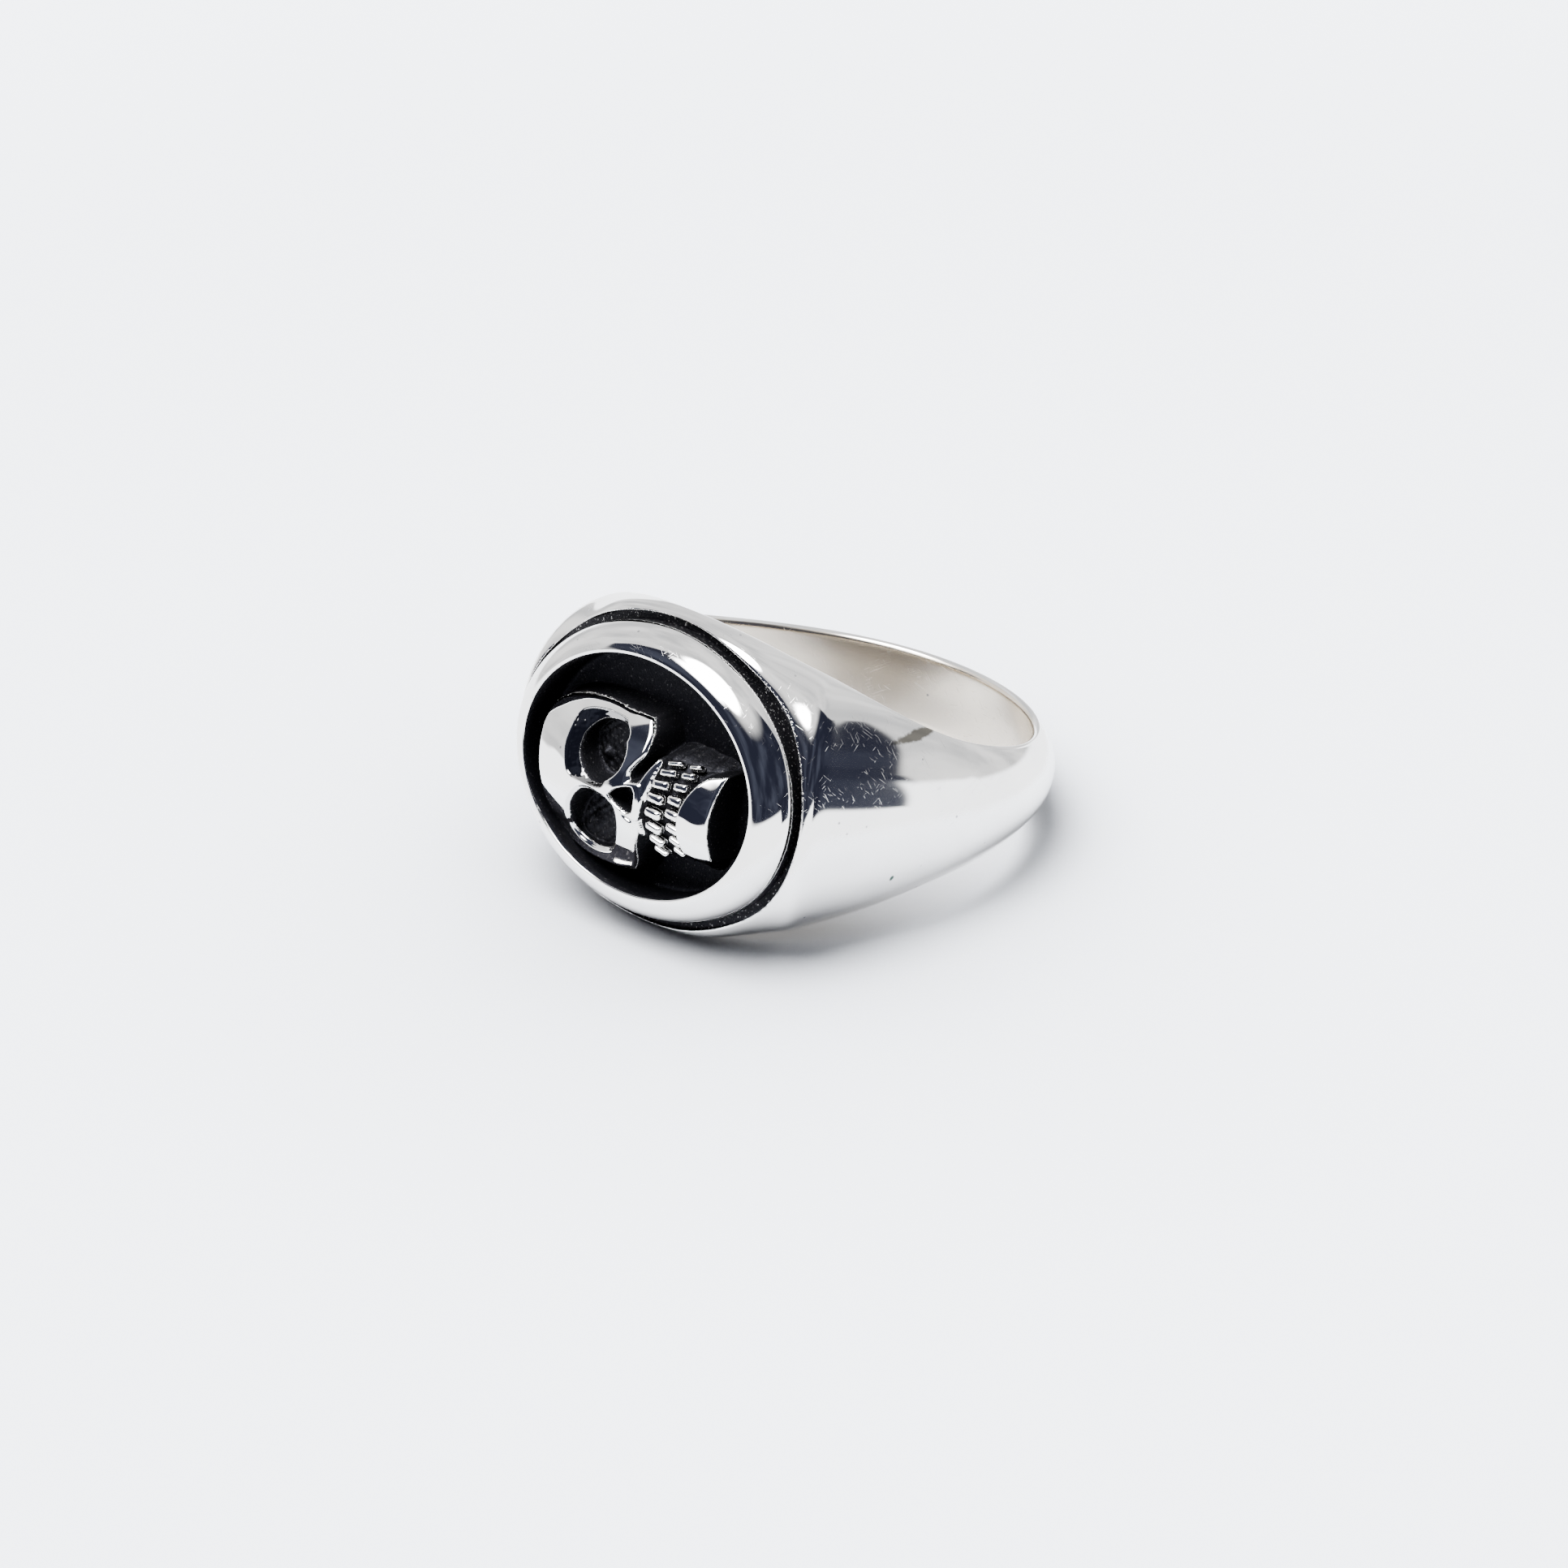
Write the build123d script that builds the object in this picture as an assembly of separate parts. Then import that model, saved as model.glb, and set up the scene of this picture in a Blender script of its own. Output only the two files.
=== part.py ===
from build123d import *
from math import acos, asin, atan2, cos, degrees, hypot, radians, sin
import os

# A heavy silver finger ring with a skull in a deep oval recess, lying on its side.
# The ring is drawn about the finger axis, which is Z, with its head toward -Y.
# At the end it is laid down, so that the head and the back both touch the ground.
# All lengths are in millimetres.

# Finger hole and band
hole_radius = 9.5
hole_edge_radius = 0.3
head_wall = 1.57
back_wall = 1.3
head_width = 14.35
back_width = 4.16
width_taper_power = 4.7

# Flat head and its soft corners
head_half_length = 8.5
corner_sharpness = 30
square_share = 0.74
dome_taper_power = 6

# Recess, the rim round it, and the groove round the rim
recess_depth = 2.0
rim_width = 1.25
rim_height = 1.45
lip_width = 0.12
groove_width = 0.45
groove_depth = 0.6
groove_land = 0.15

# Skull, whose crown points along -X and whose chin points along +X
skull_length = 10.4
skull_width = 6.9
skull_height = 2.8
skull_along = -0.35
skull_across = -0.8
dome_drop = 1.5
arch_drop = 0.8
skull_edge_radius = 0.3

# Eyes and nose
eye_length = 2.7
eye_width = 2.75
eye_spacing = 3.18
eye_depth = 1.4
brow_bevel = 0.6
pupil_radius = 0.28
nose_length = 1.4
nose_width = 1.2
nose_depth = 0.9

# Jaw, teeth and chin
jaw_width = 3.9
jaw_step = 0.35
upper_teeth = 8
lower_teeth = 8
tooth_length = 0.8
tooth_gap = 0.1
tooth_rise = 0.24
tooth_edge_radius = 0.09
tooth_bow = 0.36
chin_length = 1.45
chin_width = 4.0
chin_hollow = 0.15

# Worked out from the sizes above
stock = 0.5
head_height = hole_radius + head_wall
head_edge = rim_width + groove_width + groove_land
recess_length = 2 * (head_half_length - head_edge)
recess_width = head_width - 2 * head_edge
crest_height = head_height + rim_height
floor_height = crest_height - recess_depth
groove_floor = head_height - groove_depth
shank_radius = hole_radius + back_wall
corner_angle = degrees(atan2(head_half_length, head_height))
corner_radius = hypot(head_half_length, head_height)
shoulder_end = corner_angle + degrees(acos(shank_radius / corner_radius))
dome_radius = ((skull_width / 2) ** 2 + dome_drop ** 2) / (2 * dome_drop)
arch_radius = ((skull_length / 2) ** 2 + arch_drop ** 2) / (2 * arch_drop)
crown = skull_along - skull_length / 2
chin = skull_along + skull_length / 2
big = 4 * corner_radius


def half_width(angle):
    """Half of the ring's width along the finger, at an angle in degrees from the head."""
    share = abs(cos(radians(angle) / 2)) ** width_taper_power
    return (back_width + (head_width - back_width) * share) / 2


def outer_radius(angle):
    """Radius of the outside: the flat head and the straight shoulder, with a soft corner between."""
    flat = head_height / max(cos(radians(angle)), 0.05)
    shoulder = shank_radius
    if abs(angle) < shoulder_end:
        shoulder = shank_radius / cos(radians(shoulder_end - abs(angle)))
    blend = flat ** -corner_sharpness + shoulder ** -corner_sharpness
    return blend ** (-1 / corner_sharpness)


def band_section(angle):
    """Cross section of the ring: nearly square at the head, with a domed outside from there on."""
    base = hole_radius - stock
    half = half_width(angle)
    top = outer_radius(angle)
    rise = top - base
    squareness = 1 / (1 + abs(angle / (square_share * corner_angle)) ** dome_taper_power)
    reach = 0.43 + 0.52 * squareness
    corner = 0.72 + 0.28 * squareness
    outward = Vector(sin(radians(angle)), -cos(radians(angle)), 0)
    plane = Plane(origin=(0, 0, 0), x_dir=outward, z_dir=outward.cross(Vector(0, 0, 1)))
    upper = [(base, half), (base + reach * rise, half), (base + corner * rise, corner * half),
             (top, reach * half), (top, 0)]
    lower = [(radius, -across) for radius, across in reversed(upper)]
    with BuildSketch(plane) as section:
        with BuildLine():
            Line(lower[-1], upper[0])
            Bezier(*upper)
            Bezier(*lower)
        make_face()
    return section.sketch.face()


def right_half(shape):
    """The half of a shape on the +X side of the middle plane."""
    return shape & (Pos(big / 2, 0, 0) * Box(big, big, big))


def band_half():
    """Half of the ring without its rim, lofted round the finger and bored with softened edges."""
    head_shares = (-0.5, -0.25, 0, 0.25, 0.5, 0.7, 0.85, 1.0, 1.15, 1.35)
    head_angles = [corner_angle * share for share in head_shares]
    span = 180 - head_angles[-1]
    back_angles = [head_angles[-1] + span * share for share in (0.11, 0.25, 0.4, 0.58, 0.78, 1.0, 1.22)]
    side = right_half(loft([band_section(angle) for angle in head_angles + back_angles]))
    side -= Cylinder(hole_radius, 2 * head_width)
    return fillet(hole_edges(side), hole_edge_radius)


def hole_edges(side):
    """The long curved edges where the finger hole meets the outside."""
    found = []
    for edge in side.edges():
        middle = edge.position_at(0.5)
        on_wall = abs(hypot(middle.X, middle.Y) - hole_radius) < 0.01
        if on_wall and edge.length > hole_radius / 2 and abs(middle.Z) > back_width / 4:
            found.append(edge)
    return found


def head_plane(height):
    """A plane across the head, at a height above the finger axis, facing outward."""
    return Plane(origin=(0, -height, 0), x_dir=(1, 0, 0), z_dir=(0, -1, 0))


def oval(growth, height):
    """The recess's oval, made larger all round, at a height above the finger axis."""
    return head_plane(height) * Ellipse(recess_length / 2 + growth, recess_width / 2 + growth)


def oval_block(growth, low, high):
    """An upright oval block between two heights above the finger axis."""
    return extrude(oval(growth, low), high - low)


def pocket():
    """The sunk oval whose edge is the outer wall of the groove, and in which the rim stands."""
    return oval_block(rim_width + groove_width, groove_floor, crest_height)


def rim():
    """The bead round the recess: upright foot, rounded top, and a narrow lip at the recess."""
    foot = oval_block(rim_width, groove_floor - groove_depth / 2, head_height)
    levels = [(1.0, 0.0), (0.98, 0.12), (0.84, 0.48), (0.5, 0.83), (lip_width / rim_width, 1.0)]
    bead = loft([oval(rim_width * out, head_height + rim_height * up) for out, up in levels])
    return foot + bead


def ring_body():
    """Band, rim, groove and recess as one body, made as a half and mirrored."""
    half = band_half() - right_half(pocket())
    half += right_half(rim())
    half -= oval_block(0, floor_height, crest_height + rim_height)
    return half + mirror(half, about=Plane.YZ)


def skull_dome(height):
    """A thick round tube, bent along the skull, whose top sets how high the face stands."""
    bent_tube = Rot(90, 0, 0) * Torus(arch_radius - dome_radius, dome_radius)
    return Pos(skull_along, 0, height - arch_radius) * bent_tube


def face_level(place, across):
    """Height of the face over the recess floor, at a place along and across the skull."""
    across_drop = dome_drop * (2 * across / skull_width) ** 2
    return skull_height - across_drop - arch_drop * (2 * (place - skull_along) / skull_length) ** 2


def raised(outline, height):
    """An outline of the face, raised from under the recess floor up to the dome."""
    block = Pos(0, 0, -stock / 2) * extrude(outline, skull_height + stock)
    return block & skull_dome(height)


def along(share):
    """Place along the skull, as a share of its length from the crown."""
    return crown + skull_length * share


def cranium_outline():
    """Round crown, slightly narrow temples and sharp cheekbones."""
    half = skull_width / 2
    cheek = (along(0.555), 0.97 * half)
    with BuildSketch() as sketch:
        with BuildLine():
            Spline((crown, 0), (along(0.06), 0.7 * half), (along(0.27), 0.98 * half),
                   (along(0.44), 0.96 * half), cheek, tangents=[(0, 1), (1, 0.1)])
            ThreePointArc(cheek, (along(0.605), 0.62 * half), (along(0.565), 0.30 * half))
            Line((along(0.565), 0.30 * half), (along(0.60), 0))
            mirror(about=Plane.XZ)
        make_face()
    return sketch.sketch


def jaw_outline():
    """The jaw: narrow under the cheekbones, then fanning out to the width of the teeth."""
    half = jaw_width / 2
    with BuildSketch() as sketch:
        with BuildLine():
            Polyline((along(0.5), 0), (along(0.5), 0.4 * half), (along(0.61), 0.5 * half))
            Spline((along(0.61), 0.5 * half), (along(0.69), 0.93 * half), (along(0.78), half),
                   (along(0.92), 0.92 * half), tangents=[(1, 0.6), (1, -0.1)])
            Polyline((along(0.92), 0.92 * half), (along(0.92), 0))
            mirror(about=Plane.XZ)
        make_face()
    return sketch.sketch


def chin_outline():
    """The chin plate, bowed like the rows of teeth, with sharp corners at its lower edge."""
    half = chin_width / 2
    start = chin - chin_hollow - chin_length
    with BuildSketch() as sketch:
        with BuildLine():
            end = start + 0.7 * tooth_bow
            ThreePointArc((end, 0.86 * half), (start, 0), (end, -0.86 * half))
            Line((end, -0.86 * half), (chin, -half))
            ThreePointArc((chin, -half), (chin - chin_hollow, 0), (chin, half))
            Line((chin, half), (end, 0.86 * half))
        make_face()
    return sketch.sketch


def eye(side):
    """One eye socket: a deep oval hole under a sloping brow."""
    place = (along(0.397), side * eye_spacing / 2)
    level = face_level(*place)
    hole = extrude(Pos(*place, level - eye_depth) * Ellipse(eye_length / 2, eye_width / 2), skull_height)
    wide = Ellipse(eye_length / 2 + 0.9 * brow_bevel, eye_width / 2 + 0.3 * brow_bevel)
    shift = Pos(-0.6 * brow_bevel, side * 0.1 * brow_bevel, 0)
    brow = loft([Pos(*place, level - 1.1 * brow_bevel) * Ellipse(eye_length / 2, eye_width / 2),
                 Pos(*place, level + 0.6 * brow_bevel) * shift * wide])
    return hole + brow


def pupil(side):
    """The small round knob on the floor of an eye socket."""
    place = (along(0.397), side * eye_spacing / 2)
    return Pos(*place, face_level(*place) - eye_depth) * Sphere(pupil_radius)


def nose():
    """The nose: a three-cornered hole whose point lies between the eyes."""
    tip = along(0.487)
    with BuildSketch() as sketch:
        with BuildLine():
            Polyline((tip, 0), (tip + 0.75 * nose_length, nose_width / 2),
                     (tip + nose_length, 0.3 * nose_width), (tip + 0.86 * nose_length, 0))
            mirror(about=Plane.XZ)
        make_face()
    return extrude(Pos(0, 0, skull_height - nose_depth) * sketch.sketch, skull_height)


def tooth(middle, share, width):
    """One tooth: a small bar with rounded edges, at a share of the jaw's half width."""
    across = share * jaw_width / 2
    place = middle + tooth_bow * share ** 2
    lean = degrees(asin(across / dome_radius))
    fan = degrees(atan2(2 * tooth_bow * share, jaw_width / 2))
    block = Box(tooth_length, width, 2 * tooth_rise)
    block = fillet(block.faces().sort_by(Axis.Z)[-1].edges(), tooth_edge_radius)
    level = face_level(place, across) - jaw_step
    return Pos(place, across, level) * Rot(-lean, 0, 0) * Rot(0, 0, fan) * block


def tooth_row(middle, count):
    """A bowed row of teeth spread evenly over the dome of the jaw."""
    width = 0.97 * jaw_width / count - tooth_gap
    return [tooth(middle, 0.97 * (2 * (index + 0.5) / count - 1), width) for index in range(count)]


def skull():
    """The whole skull, drawn flat on the recess floor with its face along +Z."""
    face = raised(cranium_outline(), skull_height)
    face = fillet(face.faces().sort_by(Axis.Z)[-1].outer_wire().edges(), skull_edge_radius)
    face += raised(jaw_outline(), skull_height - jaw_step)
    face += raised(chin_outline(), skull_height - 0.1 * jaw_step)
    for side in (-1, 1):
        face -= eye(side)
        face += pupil(side)
    face -= nose()
    for piece in tooth_row(along(0.71), upper_teeth) + tooth_row(along(0.8), lower_teeth):
        face += piece
    return head_plane(floor_height) * (Pos(0, skull_across, 0) * face)


def laid_down(ring):
    """The ring on its side: the back sinks until head and back touch the ground, under the origin."""
    tilt = degrees(atan2((head_width - back_width) / 2, 2 * hole_radius + stock))
    ring = Rot(-tilt, 0, 0) * ring
    box = ring.bounding_box()
    move = Pos(-box.center().X, -box.center().Y, -box.min.Z)
    print("tilt", round(tilt, 3), "hole centre", move.position, "box", box.size)
    return move * ring


ring = laid_down(ring_body() + skull())
os.makedirs("parts", exist_ok=True)
export_step(ring, "parts/skull_ring.step")
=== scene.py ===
# %% [markdown]
# A heavy silver ring with a skull, lying on its side on a white table.
#
# The real ring is one casting: a wide flat head with a deep oval recess, a
# rounded rim round the recess, a narrow blackened groove round the rim, a
# skull in relief in the recess, and a band that narrows to the back. It could
# be sculpted by hand, but each of its forms follows a rule, so this lesson
# works the forms out with numpy and hands the finished points to Blender.

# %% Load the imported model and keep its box
import math

import bmesh
import bpy
import numpy as np
from mathutils import Matrix, Vector


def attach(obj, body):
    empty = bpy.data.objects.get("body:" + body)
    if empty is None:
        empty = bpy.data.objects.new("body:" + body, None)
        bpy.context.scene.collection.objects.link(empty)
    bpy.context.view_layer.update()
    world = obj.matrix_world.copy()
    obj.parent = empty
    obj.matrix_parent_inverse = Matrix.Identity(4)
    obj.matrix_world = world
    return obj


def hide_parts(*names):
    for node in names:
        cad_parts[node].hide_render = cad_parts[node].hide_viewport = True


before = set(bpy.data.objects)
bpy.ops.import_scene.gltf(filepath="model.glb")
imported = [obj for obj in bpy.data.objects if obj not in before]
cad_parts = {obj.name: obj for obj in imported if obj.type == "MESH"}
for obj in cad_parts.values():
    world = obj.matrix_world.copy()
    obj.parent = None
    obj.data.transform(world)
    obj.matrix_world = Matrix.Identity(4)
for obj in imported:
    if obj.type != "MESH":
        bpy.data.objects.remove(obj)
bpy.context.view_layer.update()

# %% [markdown]
# The sizes are those of the solid model, in millimetres; only the corners of
# the head are a little crisper here. Every form below is drawn in the ring's
# own frame: the finger axis is Z, the head faces -Y, the skull's crown points
# along -X. One helper lays the finished points down.

# %% Sizes of the ring, in millimetres
hole_radius, hole_edge, head_wall, back_wall = 9.5, 0.3, 1.57, 1.3
head_width, back_width, width_taper = 14.35, 4.16, 4.7
head_half_length, corner_sharpness, square_share, dome_taper = 8.5, 48, 0.74, 6
recess_depth, rim_width, rim_height, lip_width = 2.0, 1.25, 1.45, 0.12
groove_width, groove_depth, groove_land, stock = 0.45, 0.6, 0.15, 0.5
head_height = hole_radius + head_wall
crest = head_height + rim_height
recess_floor = crest - recess_depth
groove_floor = head_height - groove_depth
recess_long = head_half_length - rim_width - groove_width - groove_land
recess_wide = head_width / 2 - rim_width - groove_width - groove_land
print("recess half sizes", round(recess_long, 2), round(recess_wide, 2), "crest", round(crest, 2))

# %% Lay points down on the table
tilt = math.atan2((head_width - back_width) / 2, 2 * hole_radius + stock)
hole_centre = np.array([0.0, 1.48117, 4.50337])


def laid_down(points):
    """Turn about X until head and back touch the table, move the hole to its place, and give metres."""
    x, y, z = points[..., 0], points[..., 1], points[..., 2]
    turned = np.stack([x, y * math.cos(tilt) + z * math.sin(tilt), z * math.cos(tilt) - y * math.sin(tilt)], -1)
    return (turned + hole_centre) * 0.001


print("tilt", round(math.degrees(tilt), 2), "degrees")

# %% [markdown]
# Every piece is a grid of points. Its quads come from counting rows and
# columns, and a grid that closes on itself wraps its last row or column round
# to the first. Points that fall together, as at a pole, are merged, and if
# the closed shell has a negative volume its faces point inwards and are
# turned. A number on each point says how black the silver is there.

# %% Helpers that turn arrays into a mesh
def grid_quads(rows, columns, wrap_rows=False, wrap_columns=False):
    """Corner numbers of the quads: (row, column), the next row, both next, the next column."""
    r, c = np.meshgrid(np.arange(rows - (not wrap_rows)), np.arange(columns - (not wrap_columns)), indexing="ij")
    r2, c2 = (r + 1) % rows, (c + 1) % columns
    return np.stack([r * columns + c, r2 * columns + c, r2 * columns + c2, r * columns + c2], -1).reshape(-1, 4)


weld_distance = 2e-8


def make_piece(name, points, quads, numbers, material):
    """A mesh object from points in millimetres, quads, and named numbers such as the blackness of each point."""
    mesh = bpy.data.meshes.new(name)
    places = laid_down(points.reshape(-1, 3))
    mesh.vertices.add(len(places))
    mesh.vertices.foreach_set("co", places.ravel())
    mesh.loops.add(quads.size)
    mesh.loops.foreach_set("vertex_index", quads.ravel().astype(np.int32))
    mesh.polygons.add(len(quads))
    mesh.polygons.foreach_set("loop_start", np.arange(0, quads.size, 4, dtype=np.int32))
    mesh.update(calc_edges=True)
    for label, values in numbers.items():
        layer = mesh.attributes.new(label, "FLOAT", "POINT")
        layer.data.foreach_set("value", np.broadcast_to(values, points.shape[:-1]).astype(np.float32).ravel())
    shell = bmesh.new()
    shell.from_mesh(mesh)
    bmesh.ops.remove_doubles(shell, verts=shell.verts, dist=weld_distance)
    if shell.calc_volume(signed=True) < 0:
        bmesh.ops.reverse_faces(shell, faces=shell.faces)
    open_edges = sum(edge.is_boundary for edge in shell.edges)
    shell.to_mesh(mesh)
    shell.free()
    mesh.shade_smooth()
    mesh.materials.append(material)
    piece = bpy.data.objects.new(name, mesh)
    bpy.context.scene.collection.objects.link(piece)
    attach(piece, "root")
    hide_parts("skull_ring")
    print(name, len(mesh.vertices), "points", len(mesh.polygons), "faces", open_edges, "open edges")
    return piece


# %% Soft steps and soft random waves
def smooth(x):
    """Soft step: 3x^2 - 2x^3 between 0 and 1, and flat outside."""
    x = np.clip(x, 0, 1)
    return x * x * (3 - 2 * x)


def ripple(u, v, size, seed):
    """Soft random waves about -1 to 1: a sum of eight sines in random directions, about size apart."""
    rng = np.random.default_rng(seed)
    angles, phases = rng.uniform(0, 2 * np.pi, (2, 8))
    pitch = 2 * np.pi / (size * rng.uniform(0.7, 1.6, 8))
    waves = [np.sin(pitch[k] * (u * np.cos(angles[k]) + v * np.sin(angles[k])) + phases[k]) for k in range(8)]
    return sum(waves) / 4


print("soft step at a quarter", smooth(0.25))

# %% [markdown]
# Polished silver is almost a mirror, so most of its look is what it reflects.
# What makes it real is small: hair-thin scratches from wear that catch the
# light, a faint haze, and tiny pits from casting. The scratches could be
# drawn one by one, but noise that is turned and then squeezed along one axis
# gives thousands, in three directions. They sit in one node group, used by
# every silver finish.

# %% Helpers that build node trees
def new_group(name, inputs, outputs):
    """An empty shader group with named sockets: inputs as (name, kind, value), outputs as (name, kind)."""
    group = bpy.data.node_groups.new(name, "ShaderNodeTree")
    for label, kind, value in inputs:
        socket = group.interface.new_socket(label, in_out="INPUT", socket_type="NodeSocket" + kind)
        socket.default_value = value
    for label, kind in outputs:
        group.interface.new_socket(label, in_out="OUTPUT", socket_type="NodeSocket" + kind)
    return group, group.nodes.new("NodeGroupInput"), group.nodes.new("NodeGroupOutput")


def add(tree, kind, **values):
    """A node with its properties and its input values set by name."""
    node = tree.nodes.new(kind)
    for key, value in values.items():
        if hasattr(node, key) and key not in node.inputs:
            setattr(node, key, value)
        else:
            node.inputs[key].default_value = value
    return node


def maths(tree, operation, a, b, clamp=False):
    """A Math node; a and b are sockets or numbers."""
    node = tree.nodes.new("ShaderNodeMath")
    node.operation, node.use_clamp = operation, clamp
    for index, value in enumerate((a, b)):
        if isinstance(value, bpy.types.NodeSocket):
            tree.links.new(value, node.inputs[index])
        else:
            node.inputs[index].default_value = value
    return node.outputs[0]


def ramp(tree, value, low, high):
    """A smooth step of a value between low and high."""
    node = add(tree, "ShaderNodeMapRange", interpolation_type="SMOOTHSTEP")
    tree.links.new(value, node.inputs["Value"])
    node.inputs["From Min"].default_value, node.inputs["From Max"].default_value = low, high
    return node.outputs["Result"]


mix_inputs, mix_output = (6, 7), 2


def mix_colour(tree, share, first, second, blend_type="MIX"):
    """A blend of two colours by a share; each colour is a socket or a fixed value."""
    node = add(tree, "ShaderNodeMix", data_type="RGBA", blend_type=blend_type)
    tree.links.new(share, node.inputs["Factor"])
    for index, value in zip(mix_inputs, (first, second)):
        if isinstance(value, bpy.types.NodeSocket):
            tree.links.new(value, node.inputs[index])
        else:
            node.inputs[index].default_value = (*value, 1)
    return node.outputs[mix_output]


# %% Node group: fine scratches
scratches, g_in, g_out = new_group(
    "Fine Scratches", [("Scale", "Float", 1000.0), ("Amount", "Float", 0.5)],
    [("Scratch", "Float"), ("Haze", "Float"), ("Pits", "Float")])
place = add(scratches, "ShaderNodeTexCoord").outputs["Object"]
# each set: how it is turned, in radians, and how much it is squeezed along one axis
scratch_sets = ((2.4, 0, 1.4), 42.0), ((1.1, 0, 1.8), 50.0), ((2.64, 0, 0.93), 36.0)
side_squeeze, hair_peaks, worn_patches = 1.6, (0.72, 0.79), (0.36, 0.60)
pit_size, pit_patches = (0.05, 0.09), (0.52, 0.56)
lines = []
for turn, stretch in scratch_sets:
    spin = add(scratches, "ShaderNodeVectorRotate", rotation_type="EULER_XYZ")
    spin.inputs["Rotation"].default_value = turn
    scratches.links.new(place, spin.inputs["Vector"])
    squeeze = add(scratches, "ShaderNodeVectorMath", operation="MULTIPLY")
    squeeze.inputs[1].default_value = (stretch, 1, side_squeeze)
    scratches.links.new(spin.outputs[0], squeeze.inputs[0])
    hair = add(scratches, "ShaderNodeTexNoise", Detail=1.0, Roughness=0.4)
    scratches.links.new(squeeze.outputs[0], hair.inputs["Vector"])
    scratches.links.new(g_in.outputs["Scale"], hair.inputs["Scale"])
    lines.append(ramp(scratches, hair.outputs["Fac"], *hair_peaks))
every = maths(scratches, "MAXIMUM", maths(scratches, "MAXIMUM", lines[0], lines[1]), lines[2])
patch = add(scratches, "ShaderNodeTexNoise", Scale=420.0, Detail=2.0)
scratches.links.new(place, patch.inputs["Vector"])
where = ramp(scratches, patch.outputs["Fac"], *worn_patches)
pit = add(scratches, "ShaderNodeTexVoronoi", Scale=1100.0)
scratches.links.new(place, pit.inputs["Vector"])
pits = maths(scratches, "SUBTRACT", 1.0, ramp(scratches, pit.outputs["Distance"], *pit_size))
pits = maths(scratches, "MULTIPLY", pits, ramp(scratches, patch.outputs["Fac"], *pit_patches))
used = maths(scratches, "MULTIPLY", where, g_in.outputs["Amount"])
scratches.links.new(maths(scratches, "MULTIPLY", every, used), g_out.inputs["Scratch"])
scratches.links.new(used, g_out.inputs["Haze"])
scratches.links.new(pits, g_out.inputs["Pits"])
print("group", scratches.name, len(scratches.nodes), "nodes")

# %% [markdown]
# The black is silver sulphide. The maker dips the ring, then polishes it, so
# the black stays only in hollows. It is matt, with bright grains where the
# polish just touched it, and its border with the bright metal is uneven. The
# blackness number on the points says where it is; noise roughens the border.

# %% Node group: sulphide black
sulphide, g_in, g_out = new_group(
    "Sulphide Black", [("Blackness", "Float", 0.0), ("Grain Scale", "Float", 9000.0)],
    [("Mask", "Float"), ("Grain", "Float"), ("Speck", "Float")])
border_noise, border, bright_grain = 0.9, (0.38, 0.62), (0.60, 0.70)
place = add(sulphide, "ShaderNodeTexCoord").outputs["Object"]
grain = add(sulphide, "ShaderNodeTexNoise", Detail=4.0, Roughness=0.65)
sulphide.links.new(place, grain.inputs["Vector"])
sulphide.links.new(g_in.outputs["Grain Scale"], grain.inputs["Scale"])
uneven = maths(sulphide, "MULTIPLY", maths(sulphide, "SUBTRACT", grain.outputs["Fac"], 0.5), border_noise)
mask = ramp(sulphide, maths(sulphide, "ADD", g_in.outputs["Blackness"], uneven), *border)
speck = ramp(sulphide, grain.outputs["Fac"], *bright_grain)
sulphide.links.new(mask, g_out.inputs["Mask"])
sulphide.links.new(grain.outputs["Fac"], g_out.inputs["Grain"])
sulphide.links.new(speck, g_out.inputs["Speck"])
print("group", sulphide.name, len(sulphide.nodes), "nodes")

# %% [markdown]
# One painted dark reflection and one dark speck show on the shoulder. The speck
# is a real stain; the larger patch is a painted dark reflection, a grey in the
# colour where the shoulder shows dark. Each is a soft ellipsoid round a place on
# the ring, with a ragged border from noise, so it needs no texture and stays
# where it is when the ring turns.

# %% Node group: stain and painted reflection
stain_and_painted_reflection, g_in, g_out = new_group(
    "Stain And Painted Reflection", [("Centre", "Vector", (0, 0, 0)), ("Size", "Vector", (1, 1, 1)),
              ("Turn", "Float", 0.0), ("Ragged", "Float", 1.0)], [("Mask", "Float")])
soft_edge = (0.55, 1.0)
place = add(stain_and_painted_reflection, "ShaderNodeTexCoord").outputs["Object"]
shifted = add(stain_and_painted_reflection, "ShaderNodeVectorMath", operation="SUBTRACT")
stain_and_painted_reflection.links.new(place, shifted.inputs[0])
stain_and_painted_reflection.links.new(g_in.outputs["Centre"], shifted.inputs[1])
leaning = add(stain_and_painted_reflection, "ShaderNodeVectorRotate", rotation_type="X_AXIS")
stain_and_painted_reflection.links.new(shifted.outputs[0], leaning.inputs["Vector"])
stain_and_painted_reflection.links.new(g_in.outputs["Turn"], leaning.inputs["Angle"])
scaled = add(stain_and_painted_reflection, "ShaderNodeVectorMath", operation="DIVIDE")
stain_and_painted_reflection.links.new(leaning.outputs[0], scaled.inputs[0])
stain_and_painted_reflection.links.new(g_in.outputs["Size"], scaled.inputs[1])
radius = add(stain_and_painted_reflection, "ShaderNodeVectorMath", operation="LENGTH")
stain_and_painted_reflection.links.new(scaled.outputs[0], radius.inputs[0])
edge_noise = add(stain_and_painted_reflection, "ShaderNodeTexNoise", Scale=2600.0, Detail=4.0)
stain_and_painted_reflection.links.new(place, edge_noise.inputs["Vector"])
wobble = maths(stain_and_painted_reflection, "MULTIPLY", maths(stain_and_painted_reflection, "SUBTRACT", edge_noise.outputs["Fac"], 0.5), g_in.outputs["Ragged"])
reach = maths(stain_and_painted_reflection, "ADD", radius.outputs["Value"], wobble)
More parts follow.
